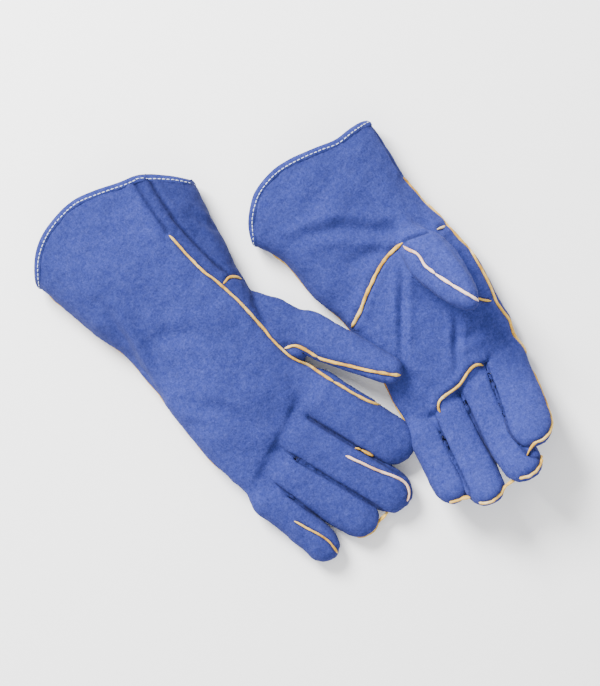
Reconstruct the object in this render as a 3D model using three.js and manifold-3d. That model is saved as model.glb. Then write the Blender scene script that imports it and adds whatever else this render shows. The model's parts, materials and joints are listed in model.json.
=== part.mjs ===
// A pair of split-leather welding gauntlets, lying side by side on a bench.
// The right glove lies palm down with its fingers straight; the left one lies on its back,
// palm up, with its fingers and thumb curled up. Millimetres, +Z up, +Y towards the cuffs,
// fingers towards -Y, origin under the middle of the pair on the bench.
//
// Every tube of leather (hand, cuff, finger, thumb) is one "form": an oval section swept along
// a centre line. Panels, linings and welts are all cut from the same form, so they nest.

import * as THREE from 'three';
import * as BufferGeometryUtils from 'three/addons/utils/BufferGeometryUtils.js';
import Module from 'manifold-3d';

const wasm = await Module();
wasm.setup();

const { abs, cos, max, min, PI, pow, sin, sqrt, tan } = Math;
const radians = THREE.MathUtils.degToRad;
const lerp = THREE.MathUtils.lerp;

// Driving dimensions of the leather work.
const LEATHER = 1.6; // panel thickness
const LINING = 1.2; // cotton lining thickness
const GAP = 0.3; // clearance between pieces that touch
const LINING_GAP = 1.5; // room between a lining and its panels
const WELT_HALF = 0.7; // half the thickness of a leather welt strip
const WELT_PROUD = 1.8; // how far a welt stands out of its seam
const SEAM_HALF = WELT_HALF + GAP; // half the slot that a welt fills
const HINGE_GAP = 1.2; // gap between two bodies at the height of their hinge
const WRIST_GAP = 4; // the same at the wrist, which also holds the wrist welt
const THREAD = 0.8; // thickness of the hem stitching
const THREAD_LIFT = 0.9; // its height over the skin, so that it clears the flats of the panel
const TIP_NARROWING = 0.9; // width of a digit near its tip, as a share of its width at the hinge
const TIP_ROUNDS_FROM = 0.76; // where along a digit its end starts to round off
const THREAD_PLACE = 0.955; // where along the cuff the hem thread runs
const SEAM_EDGE = 1e-4; // angle by which a half section stops short of its seam line, radians

// Digits of one glove, the same in both: length from hinge to tip, half width and half height.
const DIGITS = {
  index: { length: 99, halfWidth: 15.2, halfHeight: 11 },
  middle: { length: 112, halfWidth: 13.8, halfHeight: 11 },
  ring: { length: 104, halfWidth: 12.8, halfHeight: 10.5 },
  little: { length: 86, halfWidth: 11.2, halfHeight: 10 },
  thumb: { length: 92, halfWidth: 14.5, halfHeight: 11 },
};

// The most that each joint of a glove has room to turn, degrees: [towards the palm, to the back].
const FINGER_TURN = { straight: [60, 15], curled: [40, 25] };
const THUMB_TURN = { up: 25, down: 8 };
const WRIST_TURN = 20;

// Finishes.
const SUEDE = new THREE.MeshStandardMaterial({ color: 0x5f74b4, roughness: 0.95, metalness: 0 });
const SUEDE_LIGHT = new THREE.MeshStandardMaterial({ color: 0x7487c4, roughness: 0.95, metalness: 0 });
const WELT = new THREE.MeshStandardMaterial({ color: 0xe2cf9a, roughness: 0.85, metalness: 0 });
const COTTON = new THREE.MeshStandardMaterial({ color: 0xe9e4d8, roughness: 1, metalness: 0 });
const COTTON_THREAD = new THREE.MeshStandardMaterial({ color: 0xdfe3ee, roughness: 0.9, metalness: 0 });

// ---------------------------------------------------------------- forms

// A form's local frame: +X runs away from its hinge, +Y is its lateral side and +Z is up.
// t runs from 0 at the hinge end to 1 at the far end, angle goes round the section from +Y.
// inset moves a point inwards from the outer skin. slot holds the two halves of a digit apart.
function formPoint(form, t, angle, inset) {
  const across = (form.halfWidth(t) - inset) * cos(angle);
  const bulge = abs(sin(angle));
  const { slot } = form;
  const height = sin(angle) > 0
    ? slot + (form.up(t) - form.seam(t) - inset - slot) * pow(bulge, form.crown)
    : -slot - (form.seam(t) + form.down(t) - inset - slot) * min(1, form.flatness * bulge);
  return formPlace(form, t, across, form.seam(t) + height, inset);
}

function formPlace(form, t, across, height, inset = 0) {
  const share = across / form.halfWidth(0);
  const start = form.start(height) + form.skew * across;
  const end = form.reach(share, height) - (form.closed ? inset : 0);
  const along = lerp(start, end, t);
  if (abs(form.curl) < 1e-6) return new THREE.Vector3(along, across, height);
  const turned = (form.curl * along) / form.length;
  const radius = form.length / form.curl;
  return new THREE.Vector3(
    radius * sin(turned) - height * sin(turned),
    across,
    radius * (1 - cos(turned)) + height * cos(turned),
  );
}

// The wedge left free beside a hinge, so that the far side of a section has room to turn.
function wedge(turnAbove, turnBelow, gap = HINGE_GAP) {
  return (height) => gap / 2 + abs(height) * tan(radians(height > 0 ? turnAbove : turnBelow) / 2);
}

// skew is the tangent of the angle between the form's own end and the line it is sewn to.
function digitForm(size, { curl = 0, skew = 0, turnUp, turnDown }) {
  const rounded = (t) => max(0, t - TIP_ROUNDS_FROM) / (1 - TIP_ROUNDS_FROM);
  const tip = (t) => sqrt(max(0, 1 - pow(rounded(t), 2)));
  return {
    length: size.length,
    curl: radians(curl),
    closed: true,
    slot: SEAM_HALF,
    crown: 0.8,
    flatness: 1.25,
    skew,
    seam: () => 0,
    halfWidth: (t) => size.halfWidth * lerp(1, TIP_NARROWING, t) * tip(t),
    up: (t) => size.halfHeight * tip(t),
    down: (t) => size.halfHeight * tip(t),
    start: wedge(turnUp, turnDown),
    reach: () => size.length,
    stations: [0, 0.18, 0.36, 0.54, 0.74, 0.86, 0.95],
  };
}

// ---------------------------------------------------------------- meshes

// A closed body between two grids of points, skin[row][column] and inner[row][column].
function closedBody(skin, inner, { wraps, capped }) {
  const rows = skin.length;
  const columns = skin[0].length;
  const flat = [...skin.flat(), ...inner.flat()];
  const skinAt = (i, k) => i * columns + (k % columns);
  const innerAt = (i, k) => rows * columns + skinAt(i, k);
  const faces = [];
  const quad = (a, b, c, d) => faces.push([a, b, c], [a, c, d]);
  const spans = wraps ? columns : columns - 1;
  for (let i = 0; i + 1 < rows; i++) {
    for (let k = 0; k < spans; k++) {
      quad(skinAt(i, k), skinAt(i + 1, k), skinAt(i + 1, k + 1), skinAt(i, k + 1));
      quad(innerAt(i, k), innerAt(i, k + 1), innerAt(i + 1, k + 1), innerAt(i + 1, k));
    }
    if (!wraps) {
      const last = columns - 1;
      quad(skinAt(i, 0), innerAt(i, 0), innerAt(i + 1, 0), skinAt(i + 1, 0));
      quad(skinAt(i, last), skinAt(i + 1, last), innerAt(i + 1, last), innerAt(i, last));
    }
  }
  const end = rows - 1;
  for (let k = 0; k < spans; k++) {
    quad(skinAt(0, k), skinAt(0, k + 1), innerAt(0, k + 1), innerAt(0, k));
    if (!capped) quad(skinAt(end, k), innerAt(end, k), innerAt(end, k + 1), skinAt(end, k + 1));
  }
  if (capped) {
    const last = columns - 1;
    for (let k = 1; k < last; k++) {
      faces.push([skinAt(end, 0), skinAt(end, k + 1), skinAt(end, k)]);
      faces.push([innerAt(end, 0), innerAt(end, k), innerAt(end, k + 1)]);
    }
    quad(skinAt(end, 0), innerAt(end, 0), innerAt(end, last), skinAt(end, last));
  }
  return geometryFacingOut(flat, faces);
}

function geometryFacingOut(points, faces) {
  const volume = faces.reduce((sum, [a, b, c]) => {
    const normal = new THREE.Vector3().crossVectors(points[b], points[c]);
    return sum + points[a].dot(normal);
  }, 0);
  const ordered = volume < 0 ? faces.map((face) => face.slice().reverse()) : faces;
  const geometry = new THREE.BufferGeometry();
  const positions = points.flatMap((p) => [p.x, p.y, p.z]);
  geometry.setAttribute('position', new THREE.Float32BufferAttribute(positions, 3));
  geometry.setIndex(ordered.flat());
  return BufferGeometryUtils.mergeVertices(geometry, 1e-4);
}

// A panel or lining: the form's skin between two seams, or all round when wraps is set.
// A seam is a function that gives the angle of the section at t.
function shellGeometry(form, { from, to, inset = 0, thickness, arcs, wraps = false }) {
  const grid = (depth) => form.stations.map((t) => {
    const count = wraps ? arcs : arcs + 1;
    return Array.from({ length: count }, (_, k) => {
      const angle = lerp(from(t), to(t), k / arcs);
      return formPoint(form, t, angle, depth);
    });
  });
  return closedBody(grid(inset), grid(inset + thickness), { wraps, capped: form.closed });
}

// A seam moved round the section by a distance, so that half a slot or half a welt fits beside it.
function besideSeam(form, seam, distance) {
  const step = 0.02;
  return (t) => {
    const a = formPoint(form, t, seam(t) - step, 0);
    const b = formPoint(form, t, seam(t) + step, 0);
    return seam(t) + (distance * 2 * step) / a.distanceTo(b);
  };
}

// A strip with a rectangular section, given the four corners of each of its stations.
function stripGeometry(corners) {
  const skin = corners.map(([a, b]) => [a, b]);
  const inner = corners.map(([, , c, d]) => [d, c]);
  return closedBody(skin, inner, { wraps: false, capped: false });
}

// The welt in a seam that runs along a tube.
function seamWeltGeometry(form, seam, { fromT, toT, steps }) {
  const near = besideSeam(form, seam, -WELT_HALF);
  const far = besideSeam(form, seam, WELT_HALF);
  const corners = Array.from({ length: steps + 1 }, (_, i) => {
    const t = lerp(fromT, toT, i / steps);
    return [
      formPoint(form, t, near(t), -WELT_PROUD),
      formPoint(form, t, far(t), -WELT_PROUD),
      formPoint(form, t, far(t), LEATHER),
      formPoint(form, t, near(t), LEATHER),
    ];
  });
  return stripGeometry(corners);
}

// The welt across the palm half of the wrist, sewn to the hinge end of the hand's palm panel.
function wristWeltGeometry(form, { from, to, proud, steps }) {
  const corners = Array.from({ length: steps + 1 }, (_, k) => {
    const angle = lerp(from, to, k / steps);
    const skin = formPoint(form, 0, angle, -proud);
    const inner = formPoint(form, 0, angle, LEATHER);
    const along = form.start(inner.z);
    const near = (point) => point.clone().setX(along - GAP);
    const far = (point) => point.clone().setX(along - GAP - 2 * WELT_HALF);
    return [near(skin), far(skin), far(inner), near(inner)];
  });
  return stripGeometry(corners);
}

// The welt that runs up one side of a digit, round its tip and down the other side.
function digitWeltGeometry(form) {
  const outline = [
    ...form.stations.map((t) => ({ t, side: -1 })),
    ...form.stations.slice().reverse().map((t) => ({ t, side: 1 })),
  ];
  const proud = 0.5;
  const lastStation = form.stations[form.stations.length - 1];
  const corners = outline.map(({ t, side }) => {
    const width = form.halfWidth(t);
    const atTip = t === lastStation;
    const pastTip = atTip ? proud / form.length : 0;
    const outside = side * (width + proud);
    const inside = side * (width - LEATHER);
    const reachIn = atTip ? t - LEATHER / form.length : t;
    return [
      formPlace(form, t + pastTip, outside, WELT_HALF),
      formPlace(form, t + pastTip, outside, -WELT_HALF),
      formPlace(form, reachIn, inside, -WELT_HALF),
      formPlace(form, reachIn, inside, WELT_HALF),
    ];
  });
  return stripGeometry(corners);
}

// A row of thread laid on the skin of a form, across the section near the hem.
function hemThreadGeometry(form, from, to, steps) {
  const width = THREAD / form.length;
  const corners = Array.from({ length: steps + 1 }, (_, k) => {
    const angle = lerp(from, to, k / steps);
    return [
      formPoint(form, THREAD_PLACE, angle, -THREAD_LIFT - THREAD),
      formPoint(form, THREAD_PLACE + width, angle, -THREAD_LIFT - THREAD),
      formPoint(form, THREAD_PLACE + width, angle, -THREAD_LIFT),
      formPoint(form, THREAD_PLACE, angle, -THREAD_LIFT),
    ];
  });
  return stripGeometry(corners);
}

// ---------------------------------------------------------------- cutting

function solidOf(geometry) {
  const vertProperties = new Float32Array(geometry.attributes.position.array);
  const triVerts = new Uint32Array(geometry.index.array);
  return new wasm.Manifold(new wasm.Mesh({ numProp: 3, vertProperties, triVerts }));
}

function geometryOf(solid) {
  const mesh = solid.getMesh();
  const geometry = new THREE.BufferGeometry();
  geometry.setAttribute('position', new THREE.BufferAttribute(mesh.vertProperties, 3));
  geometry.setIndex(new THREE.BufferAttribute(mesh.triVerts, 1));
  return geometry;
}

// The room that a thumb needs in its hand: a fat copy of its root at several turns of its hinge.
function thumbRoom(size, root, turn) {
  const clearance = 4.6;
  const fat = new THREE.SphereGeometry(1, 12, 8);
  fat.deleteAttribute('normal');
  fat.deleteAttribute('uv');
  const ball = BufferGeometryUtils.mergeVertices(fat, 1e-4);
  const reach = size.length * 0.72;
  let room = null;
  for (const angle of [-turn.down, 0, turn.up / 2, turn.up]) {
    const copy = ball.clone();
    copy.scale(reach * 0.5, size.halfWidth + clearance, size.halfHeight + clearance);
    copy.translate(reach * 0.5 - size.halfHeight - clearance, 0, 0);
    copy.rotateY(-radians(angle));
    copy.applyMatrix4(root);
    const solid = solidOf(copy);
    room = room ? room.add(solid) : solid;
  }
  return room;
}

// ---------------------------------------------------------------- one glove

function addPiece(group, name, geometry, material) {
  const mesh = new THREE.Mesh(geometry, material);
  mesh.name = name;
  mesh.geometry.computeVertexNormals();
  group.add(mesh);
}

// A group at a hinge: +X away from the hinge. heading turns from -Y towards +X, degrees.
function hingeGroup({ at, heading, tilt = 0, towardsCuff = false }) {
  const group = new THREE.Group();
  group.position.set(...at);
  group.rotation.order = 'ZYX';
  group.rotation.z = radians(towardsCuff ? 90 - heading : heading - 90);
  group.rotation.y = -radians(tilt);
  return group;
}

function addDigit(glove, parent, digit, pose, thumb = false) {
  const size = DIGITS[digit];
  const [palmwards, backwards] = FINGER_TURN[glove.fingers];
  const turns = thumb
    ? { turnUp: THUMB_TURN.up, turnDown: THUMB_TURN.up }
    : glove.palmUp
      ? { turnUp: palmwards, turnDown: backwards }
      : { turnUp: backwards, turnDown: palmwards };
  const form = digitForm(size, { curl: pose.curl, skew: pose.skew, ...turns });
  const group = hingeGroup(pose);
  group.userData.joint = `${glove.name}_${digit}`;
  const arcs = 6;
  const half = (from) => ({
    from: () => from + SEAM_EDGE,
    to: () => from + PI - SEAM_EDGE,
    thickness: LEATHER,
    arcs,
  });
  const [top, bottom] = glove.palmUp ? ['front', 'back'] : ['back', 'front'];
  addPiece(group, `${glove.name}_${digit}_${top}`, shellGeometry(form, half(0)), SUEDE);
  addPiece(group, `${glove.name}_${digit}_${bottom}`, shellGeometry(form, half(PI)), SUEDE);
  addPiece(group, `${glove.name}_${digit}_welt`, digitWeltGeometry(form), WELT);
  parent.add(group);
  return group;
}

function handForm(glove) {
  const { hand } = glove;
  const [, backwards] = FINGER_TURN[glove.fingers];
  const [palmwards] = FINGER_TURN[glove.fingers];
  const above = glove.palmUp ? palmwards : backwards;
  const below = glove.palmUp ? backwards : palmwards;
  const knuckleWedge = wedge(above, below);
  const fingerAxis = hand.fingerHeight - hand.hinge;
  return {
    length: hand.length,
    curl: 0,
    closed: false,
    slot: 0,
    crown: hand.crown,
    flatness: 1.5,
    skew: 0,
    seam: (t) => lerp(0, fingerAxis, t),
    halfWidth: (t) => lerp(hand.wristHalf, hand.knuckleHalf, t),
    up: (t) => lerp(hand.wristTop, hand.knuckleTop, t) - hand.hinge,
    down: () => hand.hinge,
    start: wedge(WRIST_TURN, WRIST_TURN, WRIST_GAP),
    reach: (share, height) => {
      const edge = hand.length + hand.slant * share - hand.clear;
      return edge - knuckleWedge(height - fingerAxis);
    },
    stations: [0, 0.2, 0.4, 0.6, 0.8, 1],
  };
}

function cuffForm(glove) {
  const { cuff, hand } = glove;
  return {
    length: cuff.length,
    curl: 0,
    closed: false,
    slot: 0,
    crown: 0.9,
    flatness: 1.5,
    skew: tan(-radians(cuff.heading + hand.heading)),
    seam: () => 0,
    halfWidth: (t) => lerp(hand.wristHalf, cuff.mouthHalf, pow(t, 0.85)),
    up: (t) => lerp(hand.wristTop, cuff.mouthTop, t) - hand.hinge,
    down: () => hand.hinge,
    start: wedge(WRIST_TURN, WRIST_TURN, WRIST_GAP),
    reach: (share) => cuff.length - cuff.bow * share * share + cuff.slant * share,
    stations: [0, 0.2, 0.4, 0.6, 0.8, 1],
  };
}

// The panels, lining and seam welts of a tube with two seams: { name, angle, welt }, near then far.
function addTube(group, name, form, { seams, palmUp, cut }) {
  const arcs = 8;
  const [near, far] = seams;
  const turn = (seam) => (t) => seam.angle(t) + 2 * PI;
  const panel = (from, to) => ({
    from: besideSeam(form, from, SEAM_HALF),
    to: besideSeam(form, to, -SEAM_HALF),
    thickness: LEATHER,
    arcs,
  });
  const lining = {
    from: near.angle,
    to: turn(near),
    inset: LEATHER + LINING_GAP,
    thickness: LINING,
    arcs: arcs * 2,
    wraps: true,
  };
  const trimmed = (geometry) => (cut ? geometryOf(solidOf(geometry).subtract(cut)) : geometry);
  const [top, bottom] = palmUp ? ['palm', 'back'] : ['back', 'palm'];
  const upper = panel(near.angle, far.angle);
  const lower = panel(far.angle, turn(near));
  addPiece(group, `${name}_${top}`, trimmed(shellGeometry(form, upper)), SUEDE);
  addPiece(group, `${name}_${bottom}`, trimmed(shellGeometry(form, lower)), SUEDE);
  addPiece(group, `${name}_lining`, trimmed(shellGeometry(form, lining)), COTTON);
  for (const seam of seams) {
    addPiece(group, `${name}_${seam.name}_welt`, seamWeltGeometry(form, seam.angle, seam.welt), WELT);
  }
}

function buildGlove(glove) {
  const { hand, cuff } = glove;
  const handGroup = hingeGroup({ at: [...hand.wrist, hand.hinge], heading: hand.heading });
  handGroup.userData.joint = `${glove.name}_hand`;
  handGroup.updateMatrixWorld(true);
  const toHand = handGroup.matrixWorld.clone().invert();

  const knuckleHeading = hand.heading - THREE.MathUtils.radToDeg(Math.atan(hand.slant / hand.wristHalf));
  const local = (pose) => ({
    ...pose,
    at: new THREE.Vector3(...pose.at).applyMatrix4(toHand).toArray(),
    heading: pose.heading - hand.heading + 90,
    skew: tan(radians(pose.heading - knuckleHeading)),
  });

  const thumbPose = { ...local(glove.thumb), skew: 0 };
  const thumbGroup = addDigit(glove, handGroup, 'thumb', thumbPose, true);
  thumbGroup.updateMatrix();
  const cut = thumbRoom(DIGITS.thumb, thumbGroup.matrix, THUMB_TURN);

  const wholeWelt = { fromT: 0.02, toT: 0.985, steps: 6 };
  const form = handForm(glove);
  addTube(handGroup, `${glove.name}_hand`, form, {
    seams: [
      { name: 'thumb_side', angle: () => 0, welt: hand.thumbSideWelt },
      { name: 'outer', angle: () => PI, welt: wholeWelt },
    ],
    palmUp: glove.palmUp,
    cut,
  });
  const palmFrom = glove.palmUp ? 0 : PI;
  const clearOfSeam = radians(8);
  const wristWelt = {
    from: palmFrom + clearOfSeam,
    to: palmFrom + PI - clearOfSeam,
    proud: glove.palmUp ? WELT_PROUD : 0,
    steps: 8,
  };
  addPiece(handGroup, `${glove.name}_wrist_welt`, wristWeltGeometry(form, wristWelt), WELT);
  for (const digit of ['index', 'middle', 'ring', 'little']) {
    addDigit(glove, handGroup, digit, local(glove.digits[digit]));
  }

  const cuffPose = { at: [0, 0, 0], heading: cuff.heading + hand.heading - 90, towardsCuff: true };
  const cuffGroup = hingeGroup(cuffPose);
  cuffGroup.userData.joint = `${glove.name}_cuff`;
  const sleeve = cuffForm(glove);
  const seamAngle = ([atWrist, atMouth]) => (t) => radians(lerp(atWrist, atMouth, t));
  addTube(cuffGroup, `${glove.name}_cuff`, sleeve, {
    seams: [
      { name: 'outer', angle: seamAngle(cuff.outerSeam), welt: wholeWelt },
      { name: 'thumb_side', angle: seamAngle(cuff.thumbSeam), welt: wholeWelt },
    ],
    palmUp: glove.palmUp,
    cut: null,
  });
  const thread = hemThreadGeometry(sleeve, ...cuff.thread.map(radians), 8);
  addPiece(cuffGroup, `${glove.name}_hem_stitching`, thread, COTTON_THREAD);
  handGroup.add(cuffGroup);
  return handGroup;
}

// ---------------------------------------------------------------- the pair

// The right glove: palm down, fingers straight, thumb tip resting just over the left glove.
const RIGHT = {
  name: 'right',
  palmUp: false,
  fingers: 'straight',
  hand: {
    wrist: [-78, 74], heading: -5, length: 118, hinge: 13, wristTop: 36, knuckleTop: 25,
    wristHalf: 52, knuckleHalf: 55, fingerHeight: 11, crown: 0.95, slant: -18, clear: 2.5,
    thumbSideWelt: { fromT: 0.02, toT: 0.3, steps: 3 },
  },
  cuff: {
    length: 130, heading: 5, mouthHalf: 72, mouthTop: 46, bow: 40, slant: 12,
    outerSeam: [0, -25], thumbSeam: [168, 124], thread: [8, 116],
  },
  thumb: { at: [-24, 13, 15], heading: 24, tilt: 13 },
  digits: {
    index: { at: [-44, -28, 11], heading: 9 },
    middle: { at: [-73, -38, 11], heading: 7 },
    ring: { at: [-100, -48, 11], heading: 6 },
    little: { at: [-125, -57, 11], heading: -1 },
  },
};

// The left glove: on its back, palm up, fingers curled up and the thumb raised over the palm.
const LEFT = {
  name: 'left',
  palmUp: true,
  fingers: 'curled',
  hand: {
    wrist: [71, -2], heading: -12, length: 110, hinge: 12, wristTop: 38, knuckleTop: 24,
    wristHalf: 57, knuckleHalf: 58, fingerHeight: 11, crown: 1.5, slant: -12, clear: 1,
    thumbSideWelt: { fromT: 0.02, toT: 0.98, steps: 6 },
  },
  cuff: {
    length: 112, heading: 1, mouthHalf: 66, mouthTop: 46, bow: 30, slant: 0,
    outerSeam: [0, 0], thumbSeam: [180, 180], thread: [8, 172],
  },
  thumb: { at: [97, -12, 38], heading: -2, tilt: 20 },
  digits: {
    index: { at: [89, -111, 11], heading: -12, curl: 62 },
    middle: { at: [57.5, -112, 11], heading: -13, curl: 55 },
    ring: { at: [28.5, -112, 11], heading: -18, curl: 50 },
    little: { at: [2.2, -110, 11], heading: -21, curl: 42 },
  },
};

const pair = new THREE.Group();
pair.add(buildGlove(LEFT), buildGlove(RIGHT));

const box = new THREE.Box3().setFromObject(pair, true);
const middle = box.getCenter(new THREE.Vector3());
pair.position.set(-middle.x, -middle.y, -box.min.z);

export default pair;
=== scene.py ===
"""A pair of blue split-leather welding gauntlets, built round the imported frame.

Each glove starts as a few closed lofts (hand and cuff, four fingers, thumb) that are joined by a
voxel remesh, softened, folded and creased in code, and then cut into its panels. Leather welts,
hem stitching and the cotton lining are separate pieces. Lengths are metres; values given in
millimetres are multiplied by MM. Places are offsets from the hinges that the frame gives.
"""
import json
import math

import bmesh
import bpy
import numpy as np
from mathutils import Matrix, Vector, noise
from mathutils.bvhtree import BVHTree


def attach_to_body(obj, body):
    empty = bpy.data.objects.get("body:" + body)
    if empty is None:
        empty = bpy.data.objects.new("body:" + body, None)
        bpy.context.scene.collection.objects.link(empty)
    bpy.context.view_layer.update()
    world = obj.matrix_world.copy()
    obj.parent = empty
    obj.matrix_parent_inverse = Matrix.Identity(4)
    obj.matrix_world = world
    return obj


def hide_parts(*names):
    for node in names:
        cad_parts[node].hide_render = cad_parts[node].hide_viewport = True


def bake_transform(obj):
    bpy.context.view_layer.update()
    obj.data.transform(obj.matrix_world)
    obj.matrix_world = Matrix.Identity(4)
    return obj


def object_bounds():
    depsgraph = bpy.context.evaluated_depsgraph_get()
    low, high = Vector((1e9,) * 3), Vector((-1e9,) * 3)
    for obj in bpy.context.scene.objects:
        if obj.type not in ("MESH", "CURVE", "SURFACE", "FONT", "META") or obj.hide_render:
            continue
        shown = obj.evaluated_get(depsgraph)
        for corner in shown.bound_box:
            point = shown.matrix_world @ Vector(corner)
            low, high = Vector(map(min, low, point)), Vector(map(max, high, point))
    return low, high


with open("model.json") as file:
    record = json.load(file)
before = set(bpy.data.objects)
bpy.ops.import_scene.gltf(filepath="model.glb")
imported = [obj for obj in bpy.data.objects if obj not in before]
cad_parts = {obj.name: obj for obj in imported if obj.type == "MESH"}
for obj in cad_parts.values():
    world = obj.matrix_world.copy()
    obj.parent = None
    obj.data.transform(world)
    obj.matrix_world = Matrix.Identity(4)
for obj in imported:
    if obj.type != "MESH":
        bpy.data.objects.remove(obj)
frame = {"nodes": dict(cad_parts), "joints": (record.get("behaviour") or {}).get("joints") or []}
cad_low, cad_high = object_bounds()

MM = 0.001
DIGITS = ("thumb", "index", "middle", "ring", "little")
FINGERS = DIGITS[1:]
UP = Vector((0, 0, 1))
JOINTS = {joint["name"]: joint for joint in frame["joints"]}

# Making of the leather.
VOXEL = 1.75 * MM
DEFLATE = 3.4 * MM      # fingers are lofted this much thinner, so that the remesh keeps them apart
LEATHER = 1.6 * MM      # thickness of a panel
RING_POINTS = 40
SEAM_STEP = 1.2 * MM
SEAM_SAMPLES = 60
RAY_HEIGHT = 0.3        # seams are cast down onto the leather from here
AIM_OUT = 1.3           # half widths from a digit's middle that its seams are aimed from
TIP_MIDDLE_BACK = 0.8   # half widths from a digit's end to the middle of its tip's curve
EVENING_ROUNDS = 8      # times that a seam's jitter is averaged out
HEM_ROUNDS = 6
SEAM_JUMP = 3.5 * MM    # a seam never climbs this much in one step
VALLEY = 1.8 * MM       # depth of the groove where two digits touch
SIDE_SEAM_HEIGHT = 16 * MM      # a seam on the side of a glove lies this high on the bench
OUTER_SEAM_HEIGHT = 7 * MM      # the seam on the little finger's side is turned further under
LINING_BACK = 13 * MM   # how far inside the hem the lining starts
LINING_GAP = 1.0 * MM   # between the leather and the lining
WELT_SIZE = (1.05, 1.4)         # a welt's half width and height in millimetres, unless given
WELT_SUNK = 1.8 * MM    # how deep a welt's root sits in the seam
SHORTEST_WELT = 4       # seam steps
HEM_ROLL_IN, HEM_ROLL_DOWN = 3.0 * MM, 0.8 * MM     # middle of the turned hem from the cut edge
HEM_ROLL_HALF, HEM_ROLL_THICK = 3.2 * MM, 1.75 * MM
HEM_ROLL_SIDES = 12
HEM_STITCH_IN = 3.6 * MM
STITCH_PITCH = 3.7 * MM
STITCH_LIFT = 1.15 * MM         # of a stitch's middle from the cut edge's surface
STITCH_SIDES = 6
# One stitch as (along, thickness, how much lower): sunk at both ends.
STITCH_SHAPE = [(-1.35 * MM, 0.2 * MM, 0.5 * MM), (-0.8 * MM, 0.34 * MM, 0.1 * MM),
                (0.8 * MM, 0.34 * MM, 0.1 * MM), (1.35 * MM, 0.2 * MM, 0.5 * MM)]
# A welt's section as (share of its half width, share of its height; below the skin if negative).
WELT_SECTION = [(0.8, -1), (1, 0.25), (0.9, 0.7), (0.35, 0.96), (-0.3, 1), (-0.85, 0.75), (-1, 0.3),
                (-0.8, -1)]
BODIES = (*DIGITS, "hand", "cuff")
HAND, CUFF = BODIES.index("hand"), BODIES.index("cuff")

# Half widths of a digit from its middle within which leather, welts and blending count as its own.
LEATHER_NEAR, WELT_NEAR = 1.5, 1.9
BLEND_NEAR, BLEND_FAR = 1.3, 2.3
LINING_CLEAR = 2.4

# How a seam's groove, the puffed leather beside it and the unevenness of the leather are shaped.
SEAM_DEPTH, CREASE_DEPTH = 0.9 * MM, 1.6 * MM
GROOVE_WIDTH = 1.6 * MM
PUFF_HEIGHT, PUFF_AWAY, PUFF_WIDTH = 0.8 * MM, 5 * MM, 3 * MM
SEAM_MARGIN = 14 * MM           # leather further than this from a seam isn't moved by it
BROAD_RUMPLE, BROAD_SIZE = 1.5 * MM, 34 * MM
FINE_RUMPLE, FINE_SIZE = 0.6 * MM, 11 * MM

# The camera looks straight down from here.
CAMERA_HEIGHT = 2.02
VIEW_DISTANCE = 2.0
VIEW_HEIGHT = 549 * MM          # what the picture shows from top to bottom
AIM_OFFSET = Vector((-20, 1, 0)) * MM
SENSOR = 36


# ------------------------------------------------------------------ small helpers

def smooth_step(low, high, value):
    """0 below low, 1 above high, and an S curve between them."""
    t = np.clip((np.asarray(value, float) - low) / (high - low), 0, 1)
    return t * t * (3 - 2 * t)


def noise_at(points, size, seed, depth=2):
    """Smooth noise from -1 to 1 at each point, with features about `size` across."""
    offset = Vector((17.3 * seed, -9.1 * seed, 4.7 * seed))
    values = [noise.fractal(Vector(p) / size + offset, 1.0, 2.0, depth) for p in points]
    return np.array(values)


def spline(points, count):
    """Points spaced evenly along a smooth curve through the given ones (Catmull-Rom)."""
    p = np.array([tuple(q) for q in points], float)
    p = np.vstack([2 * p[0] - p[1], p, 2 * p[-1] - p[-2]])
    fine = []
    for a, b, c, d in zip(p, p[1:], p[2:], p[3:]):
        for t in np.linspace(0, 1, 24, endpoint=False):
            fine.append(0.5 * ((2 * b) + (c - a) * t + (2 * a - 5 * b + 4 * c - d) * t ** 2
                               + (3 * b - a - 3 * c + d) * t ** 3))
    fine.append(p[-2])
    fine = np.array(fine)
    run = np.concatenate([[0], np.cumsum(np.linalg.norm(np.diff(fine, axis=0), axis=1))])
    at = np.linspace(0, run[-1], count)
    return np.column_stack([np.interp(at, run, fine[:, k]) for k in range(fine.shape[1])])


def line_distance(points, line):
    """Distance from each point to a polyline, and how far along it (0 to 1) the nearest place is."""
    best = np.full(len(points), 1e9)
    along = np.zeros(len(points))
    lengths = np.linalg.norm(np.diff(line, axis=0), axis=1)
    run = np.concatenate([[0], np.cumsum(lengths)])
    for i, (a, b) in enumerate(zip(line, line[1:])):
        d = b - a
        t = np.clip(((points - a) @ d) / max(d @ d, 1e-12), 0, 1)
        distance = np.linalg.norm(points - (a + t[:, None] * d), axis=1)
        closer = distance < best
        best[closer] = distance[closer]
        along[closer] = (run[i] + t[closer] * lengths[i]) / max(run[-1], 1e-9)
    return best, along


def new_mesh_object(name, verts, faces, normals=None):
    """A smooth-shaded mesh in the scene, with its own normals at the vertices if they are given."""
    mesh = bpy.data.meshes.new(name)
    mesh.from_pydata([tuple(v) for v in verts], [], [tuple(int(i) for i in f) for f in faces])
    mesh.polygons.foreach_set("use_smooth", [True] * len(mesh.polygons))
    mesh.update()
    if normals is not None:
        mesh.normals_split_custom_set_from_vertices([tuple(n) for n in normals])
    obj = bpy.data.objects.new(name, mesh)
    bpy.context.scene.collection.objects.link(obj)
    return obj


# ------------------------------------------------------------------ lofts

def section(half_width, up, down, crown, flatness):
    """An oval section as (across, height) pairs: a domed top, flatter underneath."""
    ring = []
    for k in range(RING_POINTS):
        angle = 2 * math.pi * k / RING_POINTS
        c, s = math.cos(angle), math.sin(angle)
        height = up * abs(s) ** crown if s > 0 else -down * min(1, flatness * abs(s))
        ring.append((half_width * c, height))
    return ring


def loft(rings):
    """A closed mesh through rings of equal size, with a face across each end."""
    return [p for ring in rings for p in ring], tube_faces(len(rings), len(rings[0]))


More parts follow.
